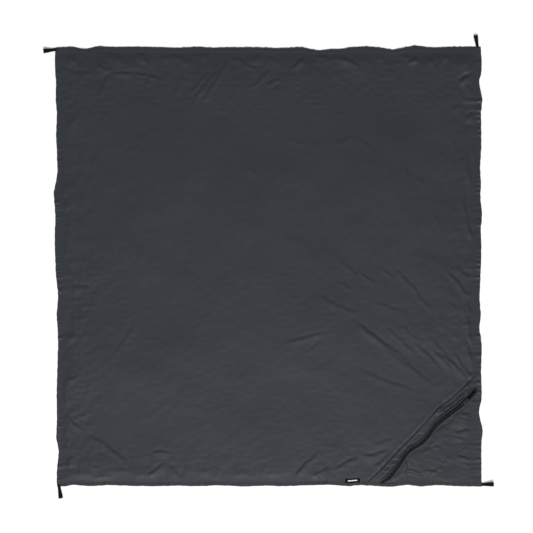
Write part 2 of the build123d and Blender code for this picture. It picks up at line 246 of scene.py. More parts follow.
def drawn(x, y, reach=45 * mm):
    """The flat plan, drawn in and out along the quilt's uneven edges. This fades out over reach."""
    ruffle = 0.28 * mm
    left = edge_lines["left"](y) + ruffle * ripples(y, 1, 21 * mm)
    right = edge_lines["right"](y) + ruffle * ripples(y, 2, 19 * mm)
    top = edge_lines["top"](x) + ruffle * ripples(x, 3, 20 * mm)
    bottom = edge_lines["bottom"](x) + ruffle * ripples(x, 4, 22 * mm)
    new_x = x - left * np.exp(-(x + half_width) / reach) + right * np.exp(-(half_width - x) / reach)
    new_y = y + top * np.exp(-(half_length - y) / reach) - bottom * np.exp(-(y + half_length) / reach)
    return new_x, new_y


def placed(x, y, z):
    """Points at these heights over the drawn-in plan."""
    return np.stack([*drawn(x, y), z], axis=-1)


def sides(x, y):
    """(place along, distance in from the binding's inner edge, seed) for each of the four sides."""
    return [
        (y, x + half_width - side_hem, 11),
        (y, half_width - side_hem - x, 12),
        (x, half_length - side_hem - y, 13),
        (x, y + half_length - bottom_hem, 14),
    ]


def inside_hem(x, y):
    """The distance in from the nearest binding's inner edge."""
    return np.min([depth for _, depth, _ in sides(x, y)], axis=0)


def ridge(distance, width):
    """A smooth ridge: 1 at no distance, falling away over width."""
    return np.exp(-((distance / width) ** 2))


def puckers(x, y):
    """Short folds across each hem, which the stitching gathers, fading into the quilt."""
    total = np.zeros_like(x)
    for along, depth, seed in sides(x, y):
        deep = np.maximum(depth, 0)
        wander = 2.5 * mm * ripples(deep, seed + 40, 30 * mm)
        tight = 0.75 + 0.45 * ripples(along, seed + 60, 160 * mm)
        total += 0.7 * mm * tight * ripples(along + wander, seed, 14 * mm) * np.exp(-deep / (18 * mm))
        total += 0.6 * mm * tight * ripples(along + wander, seed + 20, 34 * mm) * np.exp(-deep / (30 * mm))
    return total


def crease_heights(x, y, creases):
    """The height of every listed crease: a fold that is steep on one side and gentle on the other.

    Each one bows and wavers a little and tapers at its ends."""
    waver = 1.5 * mm
    x, y = x + waver * waves(x, y, 71, 45 * mm), y + waver * waves(x, y, 72, 45 * mm)
    total = np.zeros_like(x)
    for i, (x0, y0, x1, y1, height, width) in enumerate(creases):
        start, run = np.array([x0, y0]) * mm, np.array([x1 - x0, y1 - y0]) * mm
        length = np.linalg.norm(run)
        run = run / length
        along = ((x - start[0]) * run[0] + (y - start[1]) * run[1]) / length
        across = (x - start[0]) * -run[1] + (y - start[1]) * run[0]
        across = across - length * 0.05 * math.sin(2.4 * i) * np.sin(math.pi * np.clip(along, 0, 1))
        runs_back = 0.95 * run[0] - 0.3 * run[1] < 0
        if runs_back:
            across = -across
        half = width * mm
        reach = np.where(across > 0, 0.75 * half, 2.4 * half)
        ends = smooth(along / 0.3) * smooth((1 - along) / 0.3)
        fold = ridge(across, reach) - 0.5 * ridge(across - 1.3 * half, 0.8 * half)
        total += 0.95 * height * mm * ends * fold
    return total


def wrinkles(x, y, seed, length):
    """A loose web of thin ridges, as light cloth has after it was packed."""
    strength = smooth(waves(x, y, seed + 1, 3 * length) * 0.8 - 0.2)
    return ridge(waves(x, y, seed, length), 0.16) * strength


def make_cloth_heights(cell=10 * mm, frames=15):
    """Simulates the face sheet and gives a function of x and y for its height.

    Its hem is pinned where the stitching draws it, and its cloth has grown a little since it was cut, most
    near the hem, so it buckles."""
    columns, rows = round(2 * half_width / cell) + 1, round(2 * half_length / cell) + 1
    lines_x = np.linspace(-half_width, half_width, columns)
    lines_y = np.linspace(-half_length, half_length, rows)
    x, y = np.meshgrid(lines_x, lines_y)
    inside = inside_hem(x, y)
    start = 0.4 * mm * waves(x, y, 33, 90 * mm) + 0.2 * mm * waves(x, y, 35, 50 * mm)
    start = (start + 0.7 * crease_heights(x, y, CREASES)) * smooth(inside / (24 * mm))
    mesh = bpy.data.meshes.new("cloth_trial")
    mesh.from_pydata(placed(x, y, start).reshape(-1, 3).tolist(), [], grid_faces(rows, columns).tolist())
    trial = bpy.data.objects.new("cloth_trial", mesh)
    bpy.context.scene.collection.objects.link(trial)
    pinned = trial.vertex_groups.new(name="pinned")
    pinned.add([int(i) for i in np.flatnonzero(inside.ravel() < 1 * mm)], 1.0, "REPLACE")
    grown = trial.vertex_groups.new(name="grown")
    share = np.round(20 * (0.15 + 0.85 * np.exp(-np.maximum(inside.ravel(), 0) / (90 * mm)))) / 20
    for level in np.unique(share):
        grown.add([int(i) for i in np.flatnonzero(share == level)], float(min(level, 1)), "REPLACE")
    trial.shape_key_add(name="laid")
    cut = trial.shape_key_add(name="cut")
    cut.data.foreach_set("co", np.stack([x, y, np.zeros_like(x)], axis=-1).ravel())
    cloth = trial.modifiers.new("cloth", "CLOTH")
    settings = cloth.settings
    settings.rest_shape_key = cut
    settings.quality = 5
    settings.mass = 0.15
    settings.tension_stiffness = settings.compression_stiffness = 40
    settings.shear_stiffness = 13
    settings.bending_stiffness = 20
    settings.tension_damping = settings.compression_damping = settings.shear_damping = 15
    settings.bending_damping = 5
    settings.air_damping = 3
    settings.effector_weights.gravity = 0
    settings.vertex_group_mass = "pinned"
    settings.vertex_group_shrink = "grown"
    settings.shrink_min, settings.shrink_max = 0, -0.003
    cloth.collision_settings.use_collision = False
    cloth.collision_settings.use_self_collision = False
    cloth.point_cache.frame_start, cloth.point_cache.frame_end = 1, frames + 1
    for number in range(1, frames + 1):
        bpy.context.scene.frame_set(number)
    result = trial.evaluated_get(bpy.context.evaluated_depsgraph_get()).data
    points = np.zeros(rows * columns * 3)
    result.vertices.foreach_get("co", points)
    height = np.clip(points.reshape(rows, columns, 3)[..., 2], -2 * mm, 2 * mm)
    bpy.data.objects.remove(trial)
    bpy.data.meshes.remove(mesh)
    bpy.context.scene.frame_set(1)

    def height_at(at_x, at_y):
        """The height between the grid's points."""
        column = np.clip((at_x + half_width) / (2 * half_width) * (columns - 1), 0, columns - 1.001)
        row = np.clip((at_y + half_length) / (2 * half_length) * (rows - 1), 0, rows - 1.001)
        c, r = column.astype(int), row.astype(int)
        u, v = smooth(column - c), smooth(row - r)
        low = height[r, c] * (1 - u) + height[r, c + 1] * u
        high = height[r + 1, c] * (1 - u) + height[r + 1, c + 1] * u
        return low * (1 - v) + high * v

    return height_at


def zip_frame(x, y):
    """Places along and across the zip, from the slider."""
    from_x, from_y = x - slider_place[0], y - slider_place[1]
    return (from_x + from_y) / math.sqrt(2), (from_x - from_y) / math.sqrt(2)


def from_zip(along, across):
    """The flat plan's x and y of a place in the zip's frame."""
    x = slider_place[0] + (along + across) / math.sqrt(2)
    y = slider_place[1] + (along - across) / math.sqrt(2)
    return x, y


def face_height(x, y):
    """The face sheet's upper side: swells, creases, and a fine crinkle that is stronger near the hems."""
    inside = inside_hem(x, y)
    shoulder = 36 * mm * (1 + 0.3 * waves(x, y, 37, 70 * mm)).clip(0.45, 1.8)
    filled = smooth(inside / shoulder)
    near_edge = np.exp(-np.maximum(inside, 0) / (90 * mm))
    swells = 0.9 * mm * waves(x, y, 21, 0.42) + 0.3 * mm * waves(x, y, 22, 0.15)
    relief = swells + crease_heights(x, y, CREASES)
    relief += (0.3 + 0.5 * near_edge) * cloth_height(x, y)
    relief += 0.7 * near_edge * mm * wrinkles(x, y, 31, 90 * mm)
    relief += 0.25 * near_edge * mm * waves(x, y, 33, 45 * mm)
    relief += (0.06 + 0.12 * near_edge) * mm * waves(x, y, 34, 24 * mm)
    along, across = zip_frame(x, y)
    past_seam = across + seam_to_zip - seam_bend(along)
    under_pocket = smooth(past_seam / (14 * mm))
    relief = relief * (1 - 0.85 * under_pocket) - 0.8 * mm * under_pocket
    relief -= 2.4 * mm * ridge(past_seam + 0.5 * mm, 2.2 * mm)
    relief += 1.0 * mm * ridge(past_seam + 9 * mm, 5 * mm)
    crown = 0.2 * mm * (1 + 0.8 * waves(x, y, 36, 130 * mm)) * ridge(inside - 30 * mm, 18 * mm)
    height = face_low + (face_high - face_low) * filled + crown
    height = height + relief * filled + puckers(x, y) * (0.35 + 0.65 * filled)
    return np.maximum(height, face_floor)


def lips(from_fold):
    """The roll of cloth along each side of the zip, against the distance from its fold."""
    return 2.4 * mm * ridge(from_fold - 2.4 * mm, 2.2 * mm) - 1.1 * mm * ridge(from_fold - 8 * mm, 3 * mm)


def pocket_height(x, y):
    """The pocket cloth's upper side: sewn down at the hems, lifted by the zip along its folds."""
    along, across = zip_frame(x, y)
    from_folds = np.abs(across - zip_bend(along)) - fold_gap
    lifted = smooth(inside_hem(x, y) / (18 * mm + 30 * mm * smooth(from_folds / (45 * mm))))
    sag = 1.4 * mm * smooth((from_folds - 14 * mm) / (60 * mm))
    relief = crease_heights(x, y, POCKET_CREASES) + 0.6 * mm * waves(0.6 * x, y, 51, 70 * mm)
    relief += 0.2 * mm * waves(0.7 * x, y, 54, 26 * mm)
    relief += 0.15 * cloth_height(1.4 * x - 0.3, 1.4 * y + 0.3)
    relief *= smooth(from_folds / (12 * mm))
    height = panel_low + (panel_high - panel_low - sag + lips(from_folds)) * lifted + relief * lifted
    return np.maximum(height + 0.6 * puckers(x, y), face_height(x, y) + cloth_gap)


def placket_height(x, y):
    """The strip between seam and zip: it lies on the face sheet at the seam and rises to the zip."""
    along, across = zip_frame(x, y)
    seam = seam_bend(along) - seam_to_zip
    fold = zip_bend(along) - fold_gap - slot_opening(along)
    rise = smooth((across - seam) / np.maximum(fold - seam, 5 * mm))
    flat_on_face = face_height(x, y) + cloth_gap
    lying = flat_on_face + 1.1 * mm * ridge(across - seam - 5.5 * mm, 2.2 * mm)
    lifted = smooth(inside_hem(x, y) / (20 * mm))
    top = panel_low + (panel_high - panel_low + lips(fold - across)) * lifted
    relief = 1.1 * crease_heights(along, across, PLACKET_CREASES)
    relief += 0.3 * mm * waves(along, 2 * across, 53, 40 * mm) * np.sin(math.pi * rise)
    height = lying + (top - lying) * rise + relief * smooth(inside_hem(x, y) / (15 * mm))
    return np.maximum(height, flat_on_face)


# --- Mesh helpers ---


def make_mesh(name, points, faces, material, flat=None):
    """A smooth-shaded piece. flat gives each point's place on the flat cloth or webbing, as its UV."""
    mesh = bpy.data.meshes.new(name)
    points, faces = np.asarray(points).tolist(), faces.tolist() if hasattr(faces, "tolist") else faces
    mesh.from_pydata(points, [], faces)
    mesh.materials.append(material)
    if flat is not None:
        corners = np.zeros(len(mesh.loops), int)
        mesh.loops.foreach_get("vertex_index", corners)
        layer = mesh.uv_layers.new(name="flat")
        layer.data.foreach_set("uv", flat.reshape(-1, 2)[corners].ravel())
    mesh.polygons.foreach_set("use_smooth", np.full(len(mesh.polygons), True))
    mesh.validate()
    piece = bpy.data.objects.new(name, mesh)
    bpy.context.scene.collection.objects.link(piece)
    return piece


def grid_faces(rows, columns, around=False):
    """Quads of a grid of points. With around, the last column joins the first."""
    index = np.arange(rows * columns).reshape(rows, columns)
    if around:
        index = np.concatenate([index, index[:, :1]], axis=1)
    low, high = index[:-1], index[1:]
    return np.stack([low[:, :-1], low[:, 1:], high[:, 1:], high[:, :-1]], axis=-1).reshape(-1, 4)


def grid_piece(name, points, material, flip=False):
    """An open sheet through points, an array of (row, column, 3)."""
    faces = grid_faces(*points.shape[:2])
    return make_mesh(name, points.reshape(-1, 3), faces[:, ::-1] if flip else faces, material)


def slab_faces(rows, columns):
    """Faces of a closed slab: a grid's upper side, its lower side and the walls round its rim."""
    upper = grid_faces(rows, columns)
    index = np.arange(rows * columns).reshape(rows, columns)
    rim = np.concatenate([index[0], index[1:, -1], index[-1, -2::-1], index[-2:0:-1, 0]])
    after = np.roll(rim, -1)
    count = rows * columns
    walls = np.stack([rim, rim + count, after + count, after], axis=-1)
    return np.concatenate([upper, upper[:, ::-1] + count, walls])


def tube_faces(tubes, rows, around):
    """Faces of this many equal closed tubes, one after another: their sides and a cap at each end."""
    bases = np.arange(tubes) * rows * around
    sides_of_one = grid_faces(rows, around, around=True)
    faces = (sides_of_one + bases[:, None, None]).reshape(-1, 4).tolist()
    ring = np.arange(around)
    for base in bases:
        faces.append((base + ring[::-1]).tolist())
        faces.append((base + (rows - 1) * around + ring).tolist())
    return faces


def strip_piece(name, sections, material, flat=None):
    """A closed solid through sections, an array of (section, point round it, 3)."""
    return make_mesh(name, sections.reshape(-1, 3), tube_faces(1, *sections.shape[:2]), material, flat)


def unit_tangents(path):
    """Unit tangents of a path of points."""
    step = np.gradient(path, axis=0)
    return step / np.maximum(np.linalg.norm(step, axis=1, keepdims=True), 1e-12)


def tube_points(path, radius, around=6):
    """Sections of a round tube along a path, kept upright."""
    tangent = unit_tangents(path)
    across = np.cross(tangent, UP)
    upright = np.linalg.norm(across, axis=1) < 1e-3
    across[upright] = [1, 0, 0]
    across /= np.linalg.norm(across, axis=1, keepdims=True)
    top = np.cross(across, tangent)
    turn = np.linspace(0, 2 * math.pi, around, endpoint=False)
    ring = np.cos(turn)[None, :, None] * across[:, None] + np.sin(turn)[None, :, None] * top[:, None]
    return path[:, None] + radius * ring


def stitches(name, path, material, pitch=stitch_pitch, length=stitch_length, radius=stitch_radius):
    """A row of separate stitches along a path, each a short length of thread that dips at its ends."""
    step = np.linalg.norm(np.diff(path, axis=0), axis=1)
    travelled = np.concatenate([[0], np.cumsum(step)])
    starts = np.arange(pitch / 2, travelled[-1] - pitch, pitch)
    shares = np.array([0.0, 0.12, 0.5, 0.88, 1.0])
    thick = np.array([0.25, 0.85, 1.0, 0.85, 0.25]) * radius
    drop = np.array([-0.35, 0.0, 0.15, 0.0, -0.35]) * mm
    places = starts[:, None] + shares[None] * length
    centre = np.stack([np.interp(places, travelled, path[:, k]) for k in range(3)], axis=-1)
    centre[..., 2] += drop
    run = centre[:, -1] - centre[:, 0]
    run /= np.linalg.norm(run, axis=1, keepdims=True)
    across = np.cross(run, UP)
    across /= np.linalg.norm(across, axis=1, keepdims=True)
    top = np.cross(across, run)
    around = 6
    turn = np.linspace(0, 2 * math.pi, around, endpoint=False)
    ring = np.cos(turn)[:, None] * across[:, None, None] + np.sin(turn)[:, None] * top[:, None, None]
    points = centre[:, :, None] + thick[None, :, None, None] * ring
    faces = tube_faces(len(starts), len(shares), around)
    return make_mesh(name, points.reshape(-1, 3), faces, material)


# --- Materials ---

sheen_roughness = 0.4


class Shader:
    """A Principled material with short calls for the nodes that the materials here use."""

    def __init__(self, name, roughness, specular=0.5, sheen=0.0):
        self.material = bpy.data.materials.new(name)
        self.material.use_nodes = True
        self.nodes = self.material.node_tree.nodes
        self.links = self.material.node_tree.links
        self.base = self.nodes["Principled BSDF"]
        self.base.inputs["Roughness"].default_value = roughness
        self.base.inputs["Specular IOR Level"].default_value = specular
        self.base.inputs["Sheen Weight"].default_value = sheen
        self.base.inputs["Sheen Roughness"].default_value = sheen_roughness
        self.coordinates = self.nodes.new("ShaderNodeTexCoord")

    def noise(self, scale, detail, rough=0.5):
        """Noise, as a number from 0 to 1."""
        node = self.nodes.new("ShaderNodeTexNoise")
        node.inputs["Scale"].default_value = scale
        node.inputs["Detail"].default_value = detail
        node.inputs["Roughness"].default_value = rough
        self.links.new(self.coordinates.outputs["Object"], node.inputs["Vector"])
        return node.outputs["Fac"]

    def bands(self, pitch, direction, kind="Object", turn=0.0):
        """Waves of this pitch along X or Y."""
        node = self.nodes.new("ShaderNodeTexWave")
        node.wave_type = "BANDS"
        node.bands_direction = direction
        node.inputs["Scale"].default_value = 2 * math.pi / (20 * pitch)
        mapping = self.nodes.new("ShaderNodeMapping")
        mapping.inputs["Rotation"].default_value = (0, 0, turn)
        self.links.new(self.coordinates.outputs[kind], mapping.inputs["Vector"])
        self.links.new(mapping.outputs["Vector"], node.inputs["Vector"])
        return node.outputs["Fac"]

    def feed(self, socket, value):
        """Links a socket to another, or sets it to a plain value."""
        if hasattr(value, "links"):
            self.links.new(value, socket)
        else:
            socket.default_value = value

    def maths(self, operation, *values):
        """A Math node on sockets or numbers."""
        node = self.nodes.new("ShaderNodeMath")
        node.operation = operation
        for socket, value in zip(node.inputs, values):
            self.feed(socket, value)
        return node.outputs["Value"]

    def ramp(self, factor, stops):
        """A colour ramp through (place, colour) stops."""
        node = self.nodes.new("ShaderNodeValToRGB")
        elements = node.color_ramp.elements
        while len(elements) < len(stops):
            elements.new(0.5)
        for element, (place, colour) in zip(elements, stops):
            element.position = place
            element.color = (*colour, 1)
        self.links.new(factor, node.inputs["Fac"])
        return node.outputs["Color"]

    def mix(self, factor, first, second):
        """A mix of two colours, each a socket or a plain colour."""
        node = self.nodes.new("ShaderNodeMix")
        node.data_type = "RGBA"
        for name, value in (("Factor", factor), ("A", first), ("B", second)):
            socket = next(s for s in node.inputs if s.name == name and s.enabled)
            self.feed(socket, (*value, 1) if isinstance(value, tuple) else value)
        return next(s for s in node.outputs if s.enabled)

    def colour(self, socket):
        """Sets where the base colour comes from."""
        self.links.new(socket, self.base.inputs["Base Color"])

    def roughness(self, socket):
        """Sets where the roughness comes from."""
        self.links.new(socket, self.base.inputs["Roughness"])

    def bump(self, height, depth, strength):
        """Adds a bump of this depth in metres on top of any before it."""
        node = self.nodes.new("ShaderNodeBump")
        node.inputs["Distance"].default_value = depth
        node.inputs["Strength"].default_value = strength
        self.links.new(height, node.inputs["Height"])
        normal = self.base.inputs["Normal"]
        if normal.is_linked:
            self.links.new(normal.links[0].from_socket, node.inputs["Normal"])
        self.links.new(node.outputs["Normal"], normal)


def tinted(colour, share):
    """The colour made lighter or darker by this share."""
    return tuple(min(1, c * share) for c in colour)


def woven_cloth(name, colour, yarn, sheen, roughness=0.55, turn=0.0):
    """Plain-weave cloth: two sets of yarns, slubs, broad tone changes, and the yarns' crests made a little
    lighter.
    """
    shader = Shader(name, roughness, specular=0.3, sheen=sheen)
    warp = shader.bands(yarn, "X", turn=turn)
    weft = shader.bands(yarn, "Y", turn=turn)
    weave = shader.maths("MAXIMUM", warp, weft)
    broad = shader.noise(3.1, 3)
    slubs = shader.noise(260, 2)
    tone = shader.ramp(broad, [(0.3, tinted(colour, 0.93)), (0.7, tinted(colour, 1.07))])
    tone = shader.mix(shader.maths("MULTIPLY", slubs, 0.22), tone, tinted(colour, 1.5))
    # The yarns' crests, where the weave pattern is high, are made a little lighter.
    tone = shader.mix(shader.maths("MULTIPLY", weave, 0.1), tone, tinted(colour, 1.35))
    shader.colour(tone)
    shader.roughness(shader.maths("MULTIPLY_ADD", broad, 0.12, roughness - 0.06))
    shader.bump(weave, 0.05 * mm, 0.5)
    shader.bump(shader.noise(70, 3), 0.12 * mm, 0.35)
    return shader.material


def webbing_cloth(name, colour, rib):
    """Narrow woven webbing, ribbed across its length, in its own flat coordinates."""
    shader = Shader(name, 0.75, specular=0.08)
    ribs = shader.bands(rib, "X", kind="UV")
    ends = shader.bands(rib * 0.8, "Y", kind="UV")
    twill = shader.maths("MULTIPLY", ribs, ends)
    tone = shader.mix(twill, tinted(colour, 0.75), tinted(colour, 1.9))
    fuzz = shader.noise(900, 2)
    shader.colour(shader.mix(shader.maths("MULTIPLY", fuzz, 0.3), tone, tinted(colour, 2.4)))
    shader.bump(twill, 0.12 * mm, 0.8)
    return shader.material


def thread_material(name, colour):
    """Twisted polyester thread."""
    shader = Shader(name, 0.5, specular=0.4, sheen=0.2)
    twist = shader.bands(0.35 * mm, "X", turn=0.7)
    shader.colour(shader.mix(twist, tinted(colour, 0.7), tinted(colour, 1.3)))
    shader.bump(twist, 0.05 * mm, 0.6)
    return shader.material


def coil_material(name, colour):
    """Nylon filament with a soft shine and slight rub marks."""
    shader = Shader(name, 0.38, specular=0.2)
    rub = shader.noise(400, 3)
    shader.colour(shader.ramp(rub, [(0.35, colour), (0.75, tinted(colour, 1.8))]))
    shader.roughness(shader.maths("MULTIPLY_ADD", rub, 0.3, 0.25))
    return shader.material


def slider_material(name, colour):
    """Die-cast metal with worn black paint: small pits, and scattered bare spots."""
    shader = Shader(name, 0.35, specular=0.25)
    pits = shader.noise(900, 4)
    worn = shader.noise(260, 5, rough=0.7)
    bare = shader.ramp(worn, [(0.74, (0, 0, 0)), (0.8, (1, 1, 1))])
    paint = shader.ramp(pits, [(0.3, colour), (0.8, tinted(colour, 2))])
    shader.colour(shader.mix(bare, paint, (0.1, 0.1, 0.09)))
    shader.roughness(shader.maths("MULTIPLY_ADD", worn, 0.3, 0.22))
    shader.bump(pits, 0.05 * mm, 0.4)
    return shader.material


def wadding_material(name, colour):
    """Loose white filling."""
    shader = Shader(name, 0.95, specular=0.1, sheen=0.3)
    fluff = shader.noise(120, 6, rough=0.7)
    shader.colour(shader.ramp(fluff, [(0.3, tinted(colour, 0.85)), (0.7, colour)]))
    shader.bump(fluff, 0.6 * mm, 0.8)
    return shader.material


shell_colour = (0.0182, 0.0205, 0.0260)
binding_colour = (0.0196, 0.0193, 0.0230)
pocket_colour = (0.0190, 0.0194, 0.0246)
backing_colour = (0.019, 0.0195, 0.022)
black = (0.0035, 0.0035, 0.004)

shell_cloth = woven_cloth("shell_cloth", shell_colour, 0.5 * mm, 0.03)
binding_cloth = woven_cloth("binding_cloth", binding_colour, 0.5 * mm, 0.03)
pocket_cloth = woven_cloth("pocket_cloth", pocket_colour, 0.5 * mm, 0.03, roughness=0.6, turn=math.pi / 4)
backing_cloth = woven_cloth("backing_cloth", backing_colour, 0.6 * mm, 0.02, roughness=0.5)
hem_thread = thread_material("hem_thread", (0.05, 0.052, 0.058))
black_thread = thread_material("black_thread", (0.012, 0.012, 0.013))
white_thread = thread_material("white_thread", (0.72, 0.72, 0.70))
black_webbing = webbing_cloth("black_webbing", black, 1.1 * mm)
tape_cloth = webbing_cloth("tape_cloth", (0.0045, 0.0045, 0.0042), 0.7 * mm)
label_cloth = webbing_cloth("label_cloth", black, 0.35 * mm)
coil_nylon = coil_material("coil_nylon", (0.017, 0.0165, 0.014))
painted_metal = slider_material("painted_metal", (0.016, 0.016, 0.015))
wadding = wadding_material("wadding", (0.75, 0.75, 0.73))


# --- The quilt's sheets ---


def even_breaks(reach, fine, coarse, margin):
    """Grid lines from -reach to reach, fine within margin of both ends and coarse between."""
    edge = np.arange(0, margin, fine)
    middle = np.linspace(-reach + margin, reach - margin, round((2 * reach - 2 * margin) / coarse))
    return np.concatenate([edge - reach, middle, reach - edge[::-1]])


def graded_breaks(*zones):
    """Grid lines through zones, each given as its start and spacing in mm. The last one only ends them."""
    lines = [zones[-1][0] * mm]
    for (start, spacing), (end, _) in zip(zones, zones[1:]):
        lines.extend(np.linspace(start, end, round((end - start) / spacing), endpoint=False) * mm)
    return np.sort(lines)


def make_face():
    """The layer that faces up. Its grid is finer where its creases are."""
    x = graded_breaks((-697, 3.4), (-560, 6), (80, 4.4), (560, 3.4), (697, 0))
    y = graded_breaks((-717, 3.4), (-580, 4.6), (0, 7), (500, 3.6), (717, 0))
    x, y = np.meshgrid(x, y)
    piece = grid_piece("face_cloth", placed(x, y, face_height(x, y)), shell_cloth)
    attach(piece, "quilt")
    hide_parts("face_sheet")
    return piece


def make_backing():
    """The layer on the ground. It rises a little in the hems, where it is sewn to the face."""
    inset = 1.5 * mm
    lines = [even_breaks(half - inset, 8 * mm, 16 * mm, 60 * mm) for half in (half_width, half_length)]
    x, y = np.meshgrid(*lines)
    settled = smooth((inside_hem(x, y) + side_hem / 2) / (12 * mm))
    points = placed(x, y, 0.45 * mm - 0.35 * mm * settled)
    piece = grid_piece("backing_cloth", points, backing_cloth, flip=True)
    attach(piece, "quilt")
    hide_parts("backing_sheet")
    return piece


def make_filling():
    """A closed sheet of filling that stops inside the hems, under the face."""
    side, low_side = side_hem + 3 * mm, bottom_hem + 3 * mm
    x = np.linspace(-half_width + side, half_width - side, 110)
    y = np.linspace(-half_length + low_side, half_length - side, 112)
    x, y = np.meshgrid(x, y)
    steps = np.linspace(-6, 6, 4) * mm
    under_face = np.min([face_height(x + a, y + b) for a in steps for b in steps], axis=0) - 1.4 * mm
    rim = smooth((inside_hem(x, y) - 2 * mm) / (12 * mm))
    top = 0.7 * mm + np.maximum(under_face, 0) * rim
    bottom = np.full_like(x, 0.6 * mm)
    points = np.concatenate([placed(x, y, top), placed(x, y, bottom)]).reshape(-1, 3)
    piece = make_mesh("filling", points, slab_faces(*x.shape), wadding)
    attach(piece, "quilt")
    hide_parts("fill_sheet")
    return piece


# --- Edge binding and hem stitching ---

# Each side's clockwise direction, outward direction, distance out from the middle, half length and hem, and
# the hems of the sides before and after it
Side = namedtuple("Side", "run out reach half hem hem_before hem_after")
SIDES = {
    "top": Side((1, 0), (0, 1), half_length, half_width, side_hem, side_hem, side_hem),
    "right": Side((0, -1), (1, 0), half_width, half_length, side_hem, side_hem, bottom_hem),
    "bottom": Side((-1, 0), (0, -1), half_length, half_width, bottom_hem, side_hem, side_hem),
    "left": Side((0, 1), (-1, 0), half_width, half_length, side_hem, bottom_hem, side_hem),
}


def side_point(side, share, depth):
    """The flat plan's x and y of a point on one side: share runs from -1 to 1 and depth in from the edge.

    The ends are mitred, so that a point deep in the hem has less of the side to run along."""
    first = side.half - depth * (side.hem_before / side.hem)
    last = side.half - depth * (side.hem_after / side.hem)
    place = np.where(share < 0, share * first, share * last)
    x = side.run[0] * place + side.out[0] * (side.reach - depth)
    y = side.run[1] * place + side.out[1] * (side.reach - depth)
    return x, y


def binding_height(x, y, depth, hem):
    """The binding's upper side: it is drawn down along both stitch rows and puffs between them."""
    groove = 1.1 * mm
    rows = ridge(depth - outer_row, groove) + ridge(depth - hem + inner_row, groove)
    puff = 1 + 0.35 * np.sin(math.pi * np.clip(depth / hem, 0, 1))
    top = hem_top + 0.2 * mm + 0.6 * puckers(x, y) * puff - 0.5 * mm * rows
    along, across = zip_frame(x, y)
    under = np.where(across < 0, placket_height(x, y), pocket_height(x, y))
    before_seam = across < seam_bend(along) - seam_to_zip - 4 * mm
    under = np.where(before_seam, face_height(x, y), under)
    return np.maximum(top, under + binding_gap)


def make_binding(name):
    """One side's binding: cloth folded round the edge, as a closed strip with its own thickness."""
    side = SIDES[name]
    hem = side.hem
    share = np.linspace(-1, 1, round(2 * side.half / (2.4 * mm)))
    thick = 0.3 * mm
    roll = 1.0 * mm
    outer, inner = [], []
    for depth in [hem, hem - 0.4 * mm, *np.linspace(hem - 1.2 * mm, roll * 1.6, 11)]:
        top = binding_height(*side_point(side, share, depth), depth, hem)
        outer.append((depth, top))
        inner.append((depth, top - thick))
    middle = binding_height(*side_point(side, share, roll), roll, hem) / 2
    for turn in np.linspace(0.22, 1, 6) * math.pi:
        outer.append((roll - roll * math.sin(turn), middle + middle * math.cos(turn)))
        inner.append((roll - (roll - thick) * math.sin(turn), middle + (middle - thick) * math.cos(turn)))
    for depth in np.linspace(roll * 2, hem, 4):
        outer.append((depth, np.full_like(share, 0.0)))
        inner.append((depth, np.full_like(share, thick)))
    loop = outer + inner[::-1]
    sections = np.zeros((len(share), len(loop), 3))
    flat = np.zeros((len(share), len(loop), 2))
    for i, (depth, height) in enumerate(loop):
        sections[:, i] = placed(*side_point(side, share, depth), np.maximum(height, 0))
        flat[:, i, 0], flat[:, i, 1] = share * side.half, depth
    piece = strip_piece(f"binding_{name}", sections, binding_cloth, flat)
    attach(piece, "quilt")
    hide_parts(f"edge_binding_{name}")
    return piece


def make_hem_stitching(row, depth_of):
    """A row of stitches round all four sides. depth_of gives how far in it runs on a side with this hem."""
    share = np.linspace(-1, 1, 1200)
    parts = []
    for side in SIDES.values():
        depth = depth_of(side.hem)
        x, y = side_point(side, share, depth)
        parts.append(placed(x, y, binding_height(x, y, depth, side.hem) + thread_gap))
    piece = stitches(f"{row}_hem_stitches", np.concatenate(parts), hem_thread)
    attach(piece, "quilt")
    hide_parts(f"hem_stitching_{row}")
    return piece


# --- Pocket and zip ---

def along_limits(across, hem_share=0.55):
    """Where a line at this distance across the zip's frame runs in under the two hems."""
    right = (half_width - side_hem * hem_share - slider_place[0]) * math.sqrt(2) - across
    bottom = (-half_length + bottom_hem * hem_share - slider_place[1]) * math.sqrt(2) + across
    return bottom, right


def folded_cloth(name, points, material, edge_first):
    """A sheet whose first or last row is folded down and back under itself, as a turned edge."""
    order = slice(None) if edge_first else slice(None, None, -1)
    x, y, z = np.moveaxis(points[order], -1, 0)
    back = np.array([0.35, 2.0, 5.0]) * mm
    drops = np.array([0.42, 0.5, 0.55]) * mm
    away = np.stack([x[3] - x[0], y[3] - y[0]])
    away /= np.linalg.norm(away, axis=0)
    tucked_x = [x[0] + away[0] * b for b in back[::-1]]
    tucked_y = [y[0] + away[1] * b for b in back[::-1]]
    tucked_z = [np.maximum(z[0] - d, 0.7 * mm) for d in drops[::-1]]
    x = np.concatenate([tucked_x, [x[0] - away[0] * 0.2 * mm], x])
    y = np.concatenate([tucked_y, [y[0] - away[1] * 0.2 * mm], y])
    z = np.concatenate([tucked_z, [z[0] - 0.22 * mm], z])
    return grid_piece(name, np.stack([x, y, z], axis=-1), material, flip=not edge_first)


def make_placket():
    """The strip between the pocket's seam and the zip. Its zip edge is folded under."""
    columns, rows = 230, 26
    share = np.linspace(0, 1, columns)[None]
    depth = np.linspace(0, 1, rows)[:, None]
    nominal = -seam_to_zip + depth * (seam_to_zip - fold_gap)
    bottom, right = along_limits(nominal)
    along = bottom + share * (right - bottom)
    across = nominal + depth * (zip_bend(along) - slot_opening(along)) + (1 - depth) * seam_bend(along)
    x, y = from_zip(along, across)
    points = placed(x, y, placket_height(x, y))
    piece = folded_cloth("placket_cloth", points, pocket_cloth, edge_first=False)
    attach(piece, "quilt")
    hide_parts("pocket_placket")
    return piece


